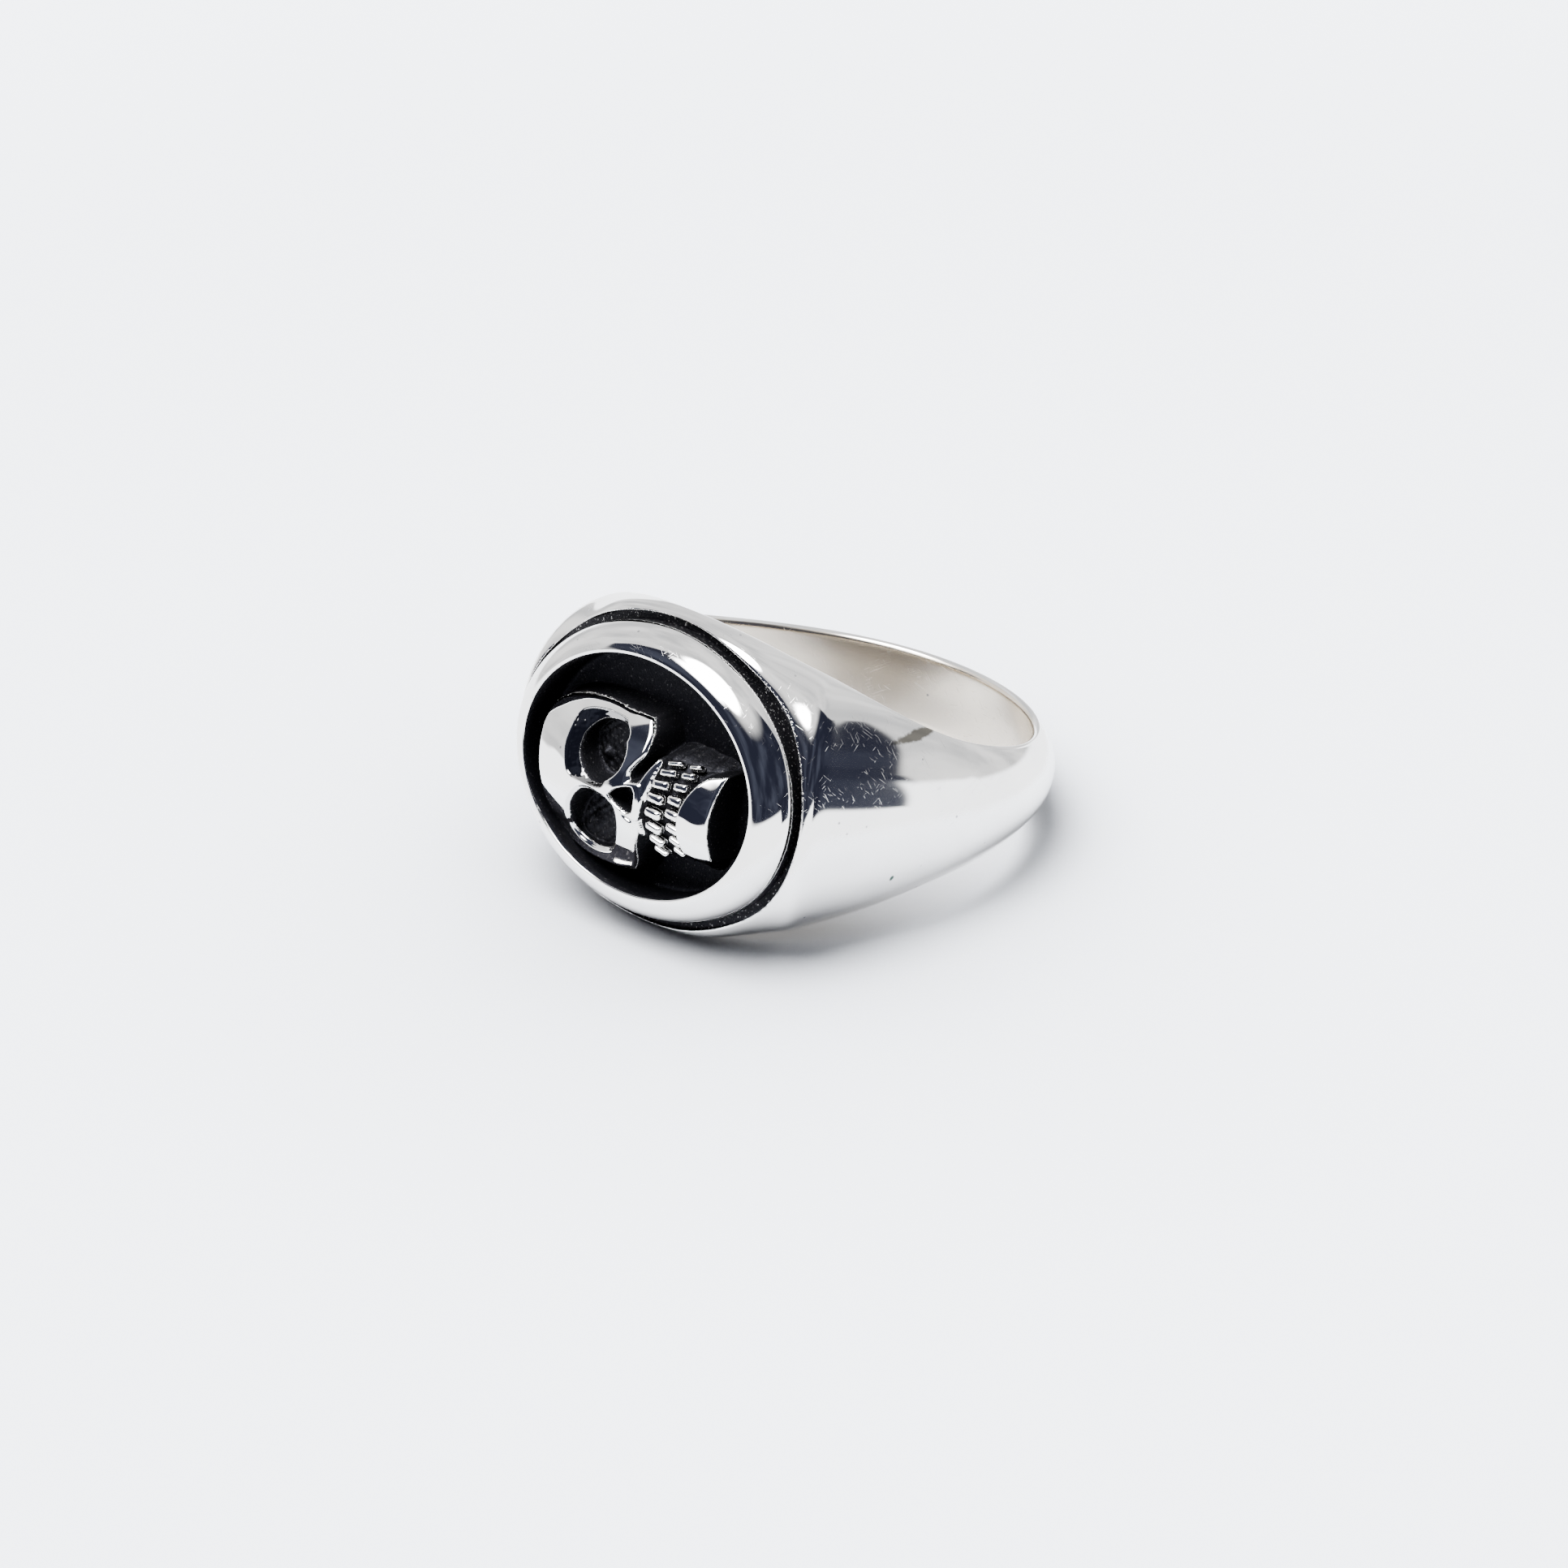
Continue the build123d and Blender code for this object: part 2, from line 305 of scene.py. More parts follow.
stain_and_painted_reflection.links.new(maths(stain_and_painted_reflection, "SUBTRACT", 1.0, ramp(stain_and_painted_reflection, reach, *soft_edge)), g_out.inputs["Mask"])
print("group", stain_and_painted_reflection.name, len(stain_and_painted_reflection.nodes), "nodes")

# %% [markdown]
# Two finishes use these groups. The polished one mixes bright and black by
# the mask; the oxidised one is black all over, with few bright grains. Both
# are metal: plain black paint would miss the dull sheen of the real sulphide.

# %% Colour and roughness of silver
# the second grey is a painted dark reflection, multiplied into the colour on the skull's facet and on the upper back of
# the bore
warm_tint, dark_reflection_tint, worn_tint = (0.96, 0.88, 0.76), (0.22, 0.22, 0.23), (0.25, 0.25, 0.26)
worn_by_scratch, worn_by_haze, worn_by_pits, spared_in_black = 0.5, 0.10, 0.85, 0.9
polish, hole_roughness, scratch_roughness, black_roughness = 0.045, 0.18, 0.36, 0.52


def number_on_points(tree, label):
    """A named number stored on the points; it reads 0 on a piece that has none."""
    return add(tree, "ShaderNodeAttribute", attribute_name=label).outputs["Fac"]


def silver_colour(tree, base, wear, dark, stains_and_painted_reflections):
    """The base, times a warm tint in the hole and a grey for painted dark reflections, then mixed with wear, a real
    stain and a painted dark reflection.
    """
    last = mix_colour(tree, number_on_points(tree, "inside_hole"), base, warm_tint, "MULTIPLY")
    last = mix_colour(tree, number_on_points(tree, "painted_dark_reflection"), last, dark_reflection_tint, "MULTIPLY")
    worn = maths(tree, "ADD", maths(tree, "MULTIPLY", wear.outputs["Scratch"], worn_by_scratch),
                 maths(tree, "MULTIPLY", wear.outputs["Haze"], worn_by_haze), clamp=True)
    worn = maths(tree, "MAXIMUM", worn, maths(tree, "MULTIPLY", wear.outputs["Pits"], worn_by_pits))
    in_bright = maths(tree, "SUBTRACT", 1.0, maths(tree, "MULTIPLY", dark.outputs["Mask"], spared_in_black))
    last = mix_colour(tree, maths(tree, "MULTIPLY", worn, in_bright), last, worn_tint)
    for centre, size, turn, tint in stains_and_painted_reflections:
        mark = add(tree, "ShaderNodeGroup", node_tree=stain_and_painted_reflection, Centre=centre, Size=size, Turn=turn)
        last = mix_colour(tree, mark.outputs["Mask"], last, tint)
    return last


def silver_roughness(tree, wear, dark, haze):
    """Polish + hole share + haze + scratches, mixed with the matt black by the black mask."""
    total = maths(tree, "ADD", maths(tree, "MULTIPLY", number_on_points(tree, "inside_hole"), hole_roughness), polish)
    total = maths(tree, "ADD", maths(tree, "MULTIPLY", wear.outputs["Haze"], haze), total)
    total = maths(tree, "ADD", total, maths(tree, "MULTIPLY", wear.outputs["Scratch"], scratch_roughness))
    mixed = maths(tree, "MULTIPLY", maths(tree, "SUBTRACT", black_roughness, total), dark.outputs["Mask"])
    return maths(tree, "ADD", total, mixed)


# %% Material: silver, bright where polished and black in the hollows
shelter_share, black_relief, scratch_depth, relief_height = 0.85, 0.9, 0.05, 0.00004


def silver(name, scratch_amount, bright, black, haze, grains, stains_and_painted_reflections=()):
    """Mix bright and black silver by the points' blackness, with scratches, stains and painted dark reflections in the
    bright part.
    """
    material = bpy.data.materials.new(name)
    material.use_nodes = True
    tree = material.node_tree
    shader = tree.nodes["Principled BSDF"]
    shader.inputs["Metallic"].default_value = 1.0
    shader.inputs["IOR"].default_value = 1.5
    dark = add(tree, "ShaderNodeGroup", node_tree=sulphide)
    tree.links.new(number_on_points(tree, "blackness"), dark.inputs["Blackness"])
    sheltered = maths(tree, "MULTIPLY", number_on_points(tree, "sheltered"), shelter_share)
    exposed = maths(tree, "SUBTRACT", 1.0, sheltered)
    wear = add(tree, "ShaderNodeGroup", node_tree=scratches)
    tree.links.new(maths(tree, "MULTIPLY", exposed, scratch_amount), wear.inputs["Amount"])
    specks = maths(tree, "MULTIPLY", dark.outputs["Speck"], maths(tree, "MULTIPLY", exposed, grains))
    cover = maths(tree, "MULTIPLY", dark.outputs["Mask"], maths(tree, "SUBTRACT", 1.0, specks))
    base = mix_colour(tree, cover, bright, black)
    tree.links.new(silver_colour(tree, base, wear, dark, stains_and_painted_reflections), shader.inputs["Base Color"])
    tree.links.new(silver_roughness(tree, wear, dark, haze), shader.inputs["Roughness"])
    grain_share = maths(tree, "MULTIPLY", dark.outputs["Mask"], black_relief)
    grain_height = maths(tree, "MULTIPLY", dark.outputs["Grain"], grain_share)
    height = maths(tree, "SUBTRACT", grain_height, maths(tree, "MULTIPLY", wear.outputs["Scratch"], scratch_depth))
    bump = add(tree, "ShaderNodeBump", Strength=1.0, Distance=relief_height)
    tree.links.new(height, bump.inputs["Height"])
    tree.links.new(bump.outputs[0], shader.inputs["Normal"])
    return material


# %% The two finishes, a stain and a painted dark reflection on the shoulder
# each mark: centre and half size in metres, turn about X in radians, colour
# painted dark reflection: the first mark greys the shoulder's colour where it shows dark; the second is a real dark
# speck
shoulder_dark_reflection = ((0.0091, -0.0021, 0.0093), (0.0010, 0.00175, 0.00025), 0.12, (0.16, 0.15, 0.13))
dark_speck = ((0.00938, -0.00444, 0.00324), (0.0003, 0.00014, 0.0002), 0.0, (0.03, 0.06, 0.05))
polished_silver = silver("polished_silver", scratch_amount=0.5, bright=(0.82, 0.81, 0.79), black=(0.011, 0.011, 0.013),
                         haze=0.02, grains=0.6, stains_and_painted_reflections=(shoulder_dark_reflection, dark_speck))
oxidised_silver = silver("oxidised_silver", scratch_amount=0.2, bright=(0.60, 0.59, 0.60), black=(0.007, 0.007, 0.009),
                         haze=0.2, grains=0.1)
print("materials", polished_silver.name, oxidised_silver.name)

# %% [markdown]
# The band is one closed surface. Seen along the finger, its outside is a flat
# head with straight shoulders that run onto the round back. Across the
# finger, the section is nearly square at the head and domed at the back.

# %% The band's outside as formulas
shank_radius = hole_radius + back_wall
corner_angle = math.degrees(math.atan2(head_half_length, head_height))
corner_radius = math.hypot(head_half_length, head_height)
shoulder_end = corner_angle + math.degrees(math.acos(shank_radius / corner_radius))
shoulder_bulge, bulge_middle, bulge_reach = 0.12, 59, 21
dome_reach, reach_gain, dome_corner, corner_gain = 0.43, 0.52, 0.72, 0.28


def half_width(angle):
    """Half the width at an angle from the head: the back's, plus the rest times cos(angle/2) to a power."""
    return (back_width + (head_width - back_width) * np.abs(np.cos(np.radians(angle) / 2)) ** width_taper) / 2


def outer_radius(angle):
    """Flat head h/cos(a) and tangent shoulder s/cos(end-a), blended by a power mean, with a hint of bulge."""
    flat = head_height / np.maximum(np.cos(np.radians(angle)), 0.05)
    away = np.clip(shoulder_end - np.abs(angle), 0, 85)
    shoulder = np.where(np.abs(angle) < shoulder_end, shank_radius / np.cos(np.radians(away)), shank_radius)
    bulge = shoulder_bulge * np.clip(1 - ((np.abs(angle) - bulge_middle) / bulge_reach) ** 2, 0, 1)
    return (flat ** -corner_sharpness + shoulder ** -corner_sharpness) ** (-1 / corner_sharpness) + bulge


def outside(angle, t):
    """Radius and place across of the outside: a quartic curve from the hole's side, t 0, to the middle, t 1."""
    base, half, top = hole_radius - stock, half_width(angle), outer_radius(angle)
    rise = top - base
    square = 1 / (1 + (np.abs(angle) / (square_share * corner_angle)) ** dome_taper)
    reach, corner = dome_reach + reach_gain * square, dome_corner + corner_gain * square
    b0, b1, b2, b3, b4 = (1 - t) ** 4, 4 * (1 - t) ** 3 * t, 6 * (1 - t) ** 2 * t ** 2, 4 * (1 - t) * t ** 3, t ** 4
    radius = base * b0 + (base + reach * rise) * b1 + (base + corner * rise) * b2 + top * (b3 + b4)
    return radius, half * (b0 + b1 + corner * b2 + reach * b3)


def halve(function, goal, low, high):
    """The t at which a rising function reaches a goal, found by halving the range forty times."""
    low, high = np.broadcast_to(low, np.shape(goal)).astype(float), np.broadcast_to(high, np.shape(goal)).astype(float)
    for _ in range(40):
        middle = (low + high) / 2
        below = function(middle) < goal
        low, high = np.where(below, middle, low), np.where(below, high, middle)
    return (low + high) / 2


def first_t(angle):
    """Where the outside leaves the rounded edge of the finger hole."""
    return halve(lambda t: outside(angle, t)[0], np.full(np.shape(angle), hole_radius + hole_edge), 0.0, 1.0)


print("shoulder runs from", round(corner_angle, 1), "to", round(shoulder_end, 1), "degrees")

# %% [markdown]
# The groove cuts an oval out of the head. Cutting it with a Boolean would
# leave ragged triangles that a mirror finish shows, so the grid itself bends:
# a square block of it is mapped onto the oval, ring by ring, and the rows
# round the block ease from the oval back to the plain band.

# %% The band: grid of angles and places across, with a square block bent to the oval
# cells from the oval's middle to its edge, the block's half sizes in ovals,
# and the angle from the head where the block ends
cells, a_max, b_max, zone = 50, 1.66, 1.28, 60.0
groove_trim, groove_wobble = 0.03, 0.02
a_head = np.arange(-round(a_max * cells), round(a_max * cells) + 1) / cells
b_rows = np.arange(-round(b_max * cells), round(b_max * cells) + 1) / cells
rest_angles = np.linspace(zone, 360 - zone, 202)[1:-1]
groove_long = recess_long + rim_width + groove_width - groove_trim
groove_wide = recess_wide + rim_width + groove_width - groove_trim


def oval_on_band(phi):
    """Angle and share across of the groove's outer edge, at a direction phi round the oval."""
    x, z = groove_long * np.cos(phi), groove_wide * np.sin(phi)
    angle = np.degrees(np.arctan(x / head_height))
    for _ in range(8):
        t = halve(lambda t: -outside(angle, t)[1], -np.abs(z), first_t(angle), 1.0)
        angle = np.degrees(np.arcsin(np.clip(x / outside(angle, t)[0], -1, 1)))
    return angle, np.sign(z) * (1 - t) / (1 - first_t(angle))


def head_patch():
    """Angle, share across and depth ring of each point of the head's part of the grid."""
    a, b = np.meshgrid(a_head, b_rows, indexing="ij")
    m = np.maximum(np.maximum(np.abs(a), np.abs(b)), 1e-9)
    phi = np.where(np.abs(a) >= np.abs(b), np.pi / 4 * b / np.where(a == 0, 1, a),
                   np.pi / 2 - np.pi / 4 * a / np.where(b == 0, 1, b))
    phi = phi + np.where(np.abs(a) >= np.abs(b), np.where(a < 0, np.pi, 0), np.where(b < 0, np.pi, 0))
    oval_angle, oval_share = oval_on_band(phi)
    far = np.minimum(a_max / np.maximum(np.abs(a) / m, 1e-9), b_max / np.maximum(np.abs(b) / m, 1e-9))
    k = np.clip((m - 1) / (far - 1), 0, 1)
    angle = (1 - k) * oval_angle + k * zone * (a / m * far) / a_max
    share = (1 - k) * oval_share + k * (b / m * far) / b_max
    return angle, share, np.clip(1 - m, 0, 1) * cells, phi


def outside_point(angle, share):
    """The outside in x, y, z, at an angle and a share across from -1 to 1."""
    radius, across = outside(angle, 1 - (1 - first_t(angle)) * np.abs(share))
    turn = np.radians(angle)
    return np.stack([radius * np.sin(turn), -radius * np.cos(turn), np.sign(share) * across], -1)


print("grid over the head", len(a_head), "by", len(b_rows), "and", len(rest_angles), "rows for the rest")

# %% Sink the groove into the head
# tables by ring, counted in from the oval's edge: how far the wall leans in, and its share of the depth
angle, share, ring_in, phi = head_patch()
head_points = outside_point(angle, share)
inside = ring_in > 0.5
surface = -head_points[..., 1]
shrink = np.interp(ring_in, [0, 1, 2, 3, 4], [0, 0.03, 0.05, 0.07, 0.10])
reach_in = np.clip(1 - np.maximum(ring_in - 4, 0) / (cells - 4), 0, 1)
oval_x, oval_z = (groove_long - shrink) * np.cos(phi) * reach_in, (groove_wide - shrink) * np.sin(phi) * reach_in
fall = np.interp(ring_in, [0, 1, 2, 3], [0, 0.12, 0.6, 1])
pocket = np.stack([oval_x, -(surface * (1 - fall) + groove_floor * fall), oval_z], -1)
uneven_wall = groove_wobble * ripple(phi * 8, ring_in, size=0.6, seed=3) * (fall > 0.5)
pocket[..., 0:3:2] += uneven_wall[..., None] * np.stack([np.cos(phi), np.sin(phi)], -1)
head_points = np.where(inside[..., None], pocket, head_points)
print("head patch", head_points.shape)

# %% Close the band: the rest of the outside, the rounded hole edges and the bore
rest_points = outside_point(*np.meshgrid(rest_angles, b_rows / b_max, indexing="ij"))
outer = np.concatenate([head_points, rest_points])
all_angles = np.concatenate([zone * a_head / a_max, rest_angles])
side = outside(all_angles, first_t(all_angles))[1]
bend = np.radians(np.linspace(90, 180, 8)[1:])
edge_r = hole_radius + hole_edge + hole_edge * np.cos(bend)
edge_z = side[:, None] - hole_edge + hole_edge * np.sin(bend)
bore_z = (side - hole_edge)[:, None] * np.linspace(1, -1, 26)[1:-1]
loop_r = np.concatenate([np.broadcast_to(edge_r, edge_z.shape), np.full(bore_z.shape, hole_radius),
                         np.broadcast_to(edge_r[::-1], edge_z.shape)], 1)
loop_z = np.concatenate([edge_z, bore_z, -edge_z[:, ::-1]], 1)
turn = np.radians(all_angles)[:, None]
inner = np.stack([loop_r * np.sin(turn), -loop_r * np.cos(turn), loop_z], -1)
band_points = np.concatenate([outer, inner], 1)
print("band grid", band_points.shape[:2])

# %% The outside swells in and out by about a hundredth of a millimetre, as hand polishing leaves it
hand_polish, edge_columns = 0.008, 4
spread = ripple(band_points[..., 0] + 0.6 * band_points[..., 1], band_points[..., 2], size=3.2, seed=41)
on_outside = np.zeros(band_points.shape[:2])
on_outside[:, edge_columns:len(b_rows) - edge_columns] = 1
on_outside[:len(a_head), :len(b_rows)] *= 1 - inside
away_from_axis = band_points * [1, 1, 0] / np.linalg.norm(band_points[..., :2], axis=-1)[..., None]
polished_off = hand_polish * (1 + spread) * on_outside
band_points = band_points - polished_off[..., None] * away_from_axis
print("polished off, at most", round(float(polished_off.max()), 4), "mm")

# %% Numbers on the band's points, and the piece
dark_reflection_angle, dark_reflection_reach, dark_reflection_edge, dark_reflection_share = 208, 42, 34, 0.8
blackness = np.zeros(band_points.shape[:2])
a_grid, b_grid = np.meshgrid(a_head, b_rows, indexing="ij")
ring_out = np.clip((np.maximum(np.abs(a_grid), np.abs(b_grid)) - 1) * cells, 0, 9)
blackness[:len(a_head), :len(b_rows)] = np.interp(ring_in - ring_out, [-2, -1, 0, 1, 2, 3], [0, 0.14, 0.42, 0.8, 1, 1])
inside_hole = np.zeros(band_points.shape[:2])
inside_hole[:, len(b_rows) + 3:-3] = 1
# painted dark reflection: the colour is darkened on the upper side of the bore's back
from_dark_reflection = np.abs((all_angles - dark_reflection_angle + 180) % 360 - 180)
upper_side = smooth((band_points[..., 2] / side[:, None] - 0.1) / 0.8)
painted_dark_reflection = dark_reflection_share * smooth((dark_reflection_reach - from_dark_reflection) / dark_reflection_edge)[:, None] * upper_side * inside_hole
band = make_piece("band", band_points, grid_quads(*band_points.shape[:2], True, True),
                  {"blackness": blackness, "inside_hole": inside_hole, "painted_dark_reflection": painted_dark_reflection},
                  polished_silver)

# %% [markdown]
# The rim is a bead carried round the oval. Its profile is drawn once, as
# distance out from the recess and height over the finger axis: a foot in the
# groove, a superellipse shoulder, a narrow lip, and down into the recess. A
# profile carried along a path beats a turned shape here, because the oval
# grows by the same distance all round.

# %% Carry a profile round the oval
def carried(profile_out, profile_up, steps):
    """Point (A+out)cos(phi), -up, (B+out)sin(phi) for each profile point and each direction phi."""
    phi = np.linspace(0, 2 * np.pi, steps, endpoint=False)[:, None]
    x, z = (recess_long + profile_out) * np.cos(phi), (recess_wide + profile_out) * np.sin(phi)
    return np.stack([x, np.broadcast_to(-profile_up, x.shape), z], -1), phi


bead_power, lip_radius, rim_ripple = 1.7, 0.04, 0.006
s = np.radians(np.linspace(0, 90, 34))
bead_out = lip_width + (rim_width - lip_width) * np.cos(s) ** (2 / bead_power)
bead_up = head_height + rim_height * np.sin(s) ** (2 / bead_power)
foot_up = np.array([groove_floor - 0.2, groove_floor, groove_floor + 0.2, head_height - 0.25, head_height - 0.12])
foot_out = np.full(5, rim_width)
lip = np.radians(np.linspace(0, 90, 6))
lip_out, lip_up = lip_radius - lip_radius * np.sin(lip), crest - lip_radius + lip_radius * np.cos(lip)
wall_out = np.array([0.0, 0.0, 0.0, 0.3, 0.9])
wall_up = np.array([crest - 0.1, crest - 0.3, crest - 0.9, groove_floor - 0.2, groove_floor - 0.2])
rim_out = np.concatenate([foot_out, bead_out, lip_out, wall_out])
rim_up = np.concatenate([foot_up, bead_up, lip_up, wall_up])
rim_points, phi = carried(rim_out, rim_up, 480)
# the wave only lowers the bead, so the rim stays inside the solid's box
rim_waves = ripple(rim_points[..., 0], rim_points[..., 2], size=2.4, seed=52)
rim_points[..., 1] += rim_ripple * (3 + rim_waves) * (rim_up > head_height)
rim_black = np.interp(rim_up, [head_height - 0.2, head_height, head_height + 0.12], [1, 0.45, 0]) * (rim_out > 0.5)
rim_black = rim_black + (np.arange(len(rim_up)) >= len(rim_up) - 4)
rim = make_piece("rim", rim_points, grid_quads(*rim_points.shape[:2], True, True), {"blackness": rim_black[None, :]},
                 polished_silver)

# %% [markdown]
# The recess is a dish, black all over. It is a piece of its own, so that its
# finish can be changed alone. Its wall stands a hair inside the rim's.

# %% The black dish
dish_gap, dish_fillet, dish_thickness, floor_rings, floor_ripple = 0.015, 0.2, 0.1, 25, 0.012
dish_turn = np.radians(np.linspace(0, 90, 7))
floor_share = np.linspace(0, 1, floor_rings + 1)[1:]
dish_out = np.concatenate([[0.05, 0.0, -dish_gap, -dish_gap, -dish_gap],
                           -dish_gap - dish_fillet + dish_fillet * np.cos(dish_turn)])
dish_up = np.concatenate([[crest - 0.14, crest - 0.10, crest - 0.12, crest - 0.5, crest - 1.2],
                          recess_floor + dish_fillet - dish_fillet * np.sin(dish_turn)])
dish, phi = carried(dish_out, dish_up, 360)
flat = dish[:, -1:, :] * np.stack([1 - floor_share, np.ones(floor_rings), 1 - floor_share], -1)[None]
under = np.stack([flat[..., 0], flat[..., 1] + dish_thickness, flat[..., 2]], -1)[:, ::-1]
outer_wall = dish[:, :1] * [1, 0, 1] - [0, recess_floor - dish_thickness, 0]
dish_points = np.concatenate([dish, flat, under, outer_wall], 1)
u, v = dish_points[..., 0], dish_points[..., 2]
dish_points[:, 12:30, 1] -= floor_ripple * ripple(u, v, size=0.7, seed=8)[:, 12:30]
recess = make_piece("recess", dish_points, grid_quads(*dish_points.shape[:2], True, True), {"blackness": 1.0},
                    oxidised_silver)

# %% [markdown]
# The skull is a relief: each point of a fine grid gets a height over the
# recess floor. Outlines are short lists of points joined by smooth curves,
# and the distance to an outline, positive inside, shapes walls, rounded
# edges and sunk facets. Lengths are along the skull, from crown to chin, and
# across it.

# %% Outlines and distances
def outline(points, corners=()):
    """Closed smooth curve through points: Hermite pieces with central slopes, sharp at the named corners."""
    p = np.array(points, float)
    ahead, behind = np.roll(p, -1, 0) - p, p - np.roll(p, 1, 0)
    leave = np.where(np.isin(np.arange(len(p)), corners)[:, None], ahead, (ahead + behind) / 2)
    arrive = np.where(np.isin(np.arange(len(p)), corners)[:, None], behind, (ahead + behind) / 2)
    t = np.linspace(0, 1, 10, endpoint=False)[None, :, None]
    a, b, m, n = p[:, None], np.roll(p, -1, 0)[:, None], leave[:, None], np.roll(arrive, -1, 0)[:, None]
    curve = (2 * t**3 - 3 * t**2 + 1) * a + (t**3 - 2 * t**2 + t) * m + (3 * t**2 - 2 * t**3) * b + (t**3 - t**2) * n
    return curve.reshape(-1, 2)


def inside_by(u, v, curve):
    """Distance from each point to the nearest side of the closed curve, positive inside."""
    best, crossings = np.full(u.shape, 1e9), np.zeros(u.shape, int)
    for (x0, y0), (x1, y1) in zip(curve, np.roll(curve, -1, 0)):
        dx, dy = x1 - x0, y1 - y0
        share = np.clip(((u - x0) * dx + (v - y0) * dy) / (dx * dx + dy * dy + 1e-12), 0, 1)
        best = np.minimum(best, (u - x0 - share * dx) ** 2 + (v - y0 - share * dy) ** 2)
        crossings += ((y0 > v) != (y1 > v)) & (u < x0 + (v - y0) * dx / (dy if dy else 1e-12))
    return np.sqrt(best) * np.where(crossings % 2, 1, -1)


def mirrored(half):
    """A whole outline from its half at positive across, listed from the crown side to the chin side."""
    return half + [(u, -v) for u, v in reversed(half) if v > 0]


skull_shift, skull_across, skull_long, skull_wide = -0.17, -0.8, 10.4, 6.9
skull_height, dome_drop, arch_drop, arch_middle = 2.8, 1.5, 0.8, -0.35
temple, temple_reach, temple_slope = 2.5, 0.8, 0.1


def face_level(u, v):
    """Height of the face: highest in the middle, lower by squares along and across, flatter past one temple."""
    past = np.maximum(-temple - v, 0)
    v = v + past - temple_reach * np.tanh(past / temple_reach)
    across = dome_drop * (2 * v / skull_wide) ** 2 + temple_slope * past
    return skull_height - across - arch_drop * (2 * (u - arch_middle) / skull_long) ** 2


# %% Outlines of the skull's parts
cranium = outline([(-5.38, -0.1), (-5.56, 0.95), (-5.62, 1.6), (-5.44, 2.23), (-4.98, 2.66), (-4.36, 2.98),
                   (-3.55, 3.2), (-2.65, 3.33), (-1.8, 3.36), (-1.0, 3.31), (-0.5, 3.36), (0.2, 3.36),
                   (0.58, 2.86), (0.71, 2.3), (0.66, 1.95), (0.4, 1.5), (0.22, 1.0), (0.3, 0.0), (0.35, -0.75),
                   (0.8, -1.05), (0.88, -1.75), (0.8, -2.35), (0.6, -2.95), (0.32, -3.52), (-0.6, -3.74),
                   (-1.5, -3.82), (-2.5, -3.82), (-3.5, -3.62), (-4.35, -3.14), (-4.8, -2.45), (-5.12, -1.45)],
                  corners=(11, 19, 23))
jaw = outline(mirrored([(0.2, 0), (0.35, 0.6), (1.0, 1.2), (1.35, 1.75), (1.8, 2.0), (2.6, 2.05), (3.4, 1.98),
                        (4.1, 1.9), (4.3, 0)]))
eye_upper = outline([(-2.95, 1.05), (-2.98, 1.8), (-2.52, 2.45), (-1.95, 2.72), (-1.1, 2.78), (-0.5, 2.42),
                     (-0.18, 1.93), (-0.1, 1.43), (-0.27, 0.9), (-0.76, 0.38), (-1.4, 0.04), (-2.08, 0.1),
                     (-2.6, 0.48)])
eye_lower = outline([(-3.2, -1.72), (-2.82, -1.04), (-2.33, -0.53), (-1.74, -0.34), (-1.08, -0.38), (-0.55, -0.46),
                     (-0.22, -0.74), (-0.1, -1.33), (-0.28, -2.08), (-0.64, -2.73), (-1.08, -3.08), (-1.8, -3.26),
                     (-2.46, -3.23), (-3.05, -3.04), (-3.34, -2.62)])
facet = outline([(-1.3, -0.08), (-2.2, -0.12), (-2.85, -0.14), (-3.25, 0.05), (-3.5, 0.55), (-3.68, 1.1), (-3.7, 1.9),
                 (-3.62, 2.5), (-3.2, 2.82), (-2.4, 3.02), (-1.5, 3.08), (-0.92, 3.02), (-0.35, 2.3), (-0.8, 0.3)],
                corners=(11,))
nose = outline([(-0.52, -0.14), (-0.2, 0.2), (0.3, 0.46), (0.68, 0.55), (0.86, 0.3), (0.9, -0.15), (0.87, -0.5),
                (0.58, -0.66), (0.08, -0.5), (-0.33, -0.32)], corners=(0, 3, 6))
nose_plate = outline([(-1.2, -0.15), (-0.55, 0.2), (0.1, 0.58), (0.75, 0.78), (1.1, 0.75), (1.3, 0.2),
                      (1.25, -0.5), (1.1, -0.9), (0.6, -0.85), (0.0, -0.68), (-0.6, -0.4)], corners=(0,))
upper_jaw = outline([(0.7, 0), (0.85, 0.62), (1.05, 1.25), (1.4, 1.96), (1.56, 1.88), (1.47, 1.2), (1.4, 0.5),
                     (1.24, -0.2), (1.2, -0.8), (1.36, -1.35), (1.22, -1.5), (0.98, -1.1), (0.82, -0.6)])
chin_plate = outline([(3.2, -0.3), (3.22, 0.25), (3.33, 0.75), (3.5, 1.2), (3.72, 1.6), (4.05, 1.95), (4.8, 2.2),
                      (4.72, 1.4), (4.68, 0.3), (4.72, -0.6), (4.85, -1.65), (4.1, -1.75), (3.5, -1.65), (3.27, -1.0)],
                     corners=(6, 10, 12))
print("outlines", len(cranium), len(eye_upper), len(chin_plate), "points")

# %% The relief's height over the recess floor
step_size = 0.035
u, v = np.meshgrid(np.arange(-5.95, 5.1, step_size), np.arange(-4.0, 3.75, step_size), indexing="ij")
level = face_level(u, v)


def raise_plate(height, depth_in, top, edge, wall=0.12):
    """Lift the relief to a plate with a quarter-round edge and a steep wall just outside its outline."""
    rounding = edge * (1 - np.sqrt(1 - (1 - np.clip(depth_in / edge, 0, 1)) ** 2))
    plate = top - rounding
    lifted = np.where(depth_in > 0, plate, height + (plate - height) * smooth(1 + depth_in / wall))
    return np.maximum(height, lifted)


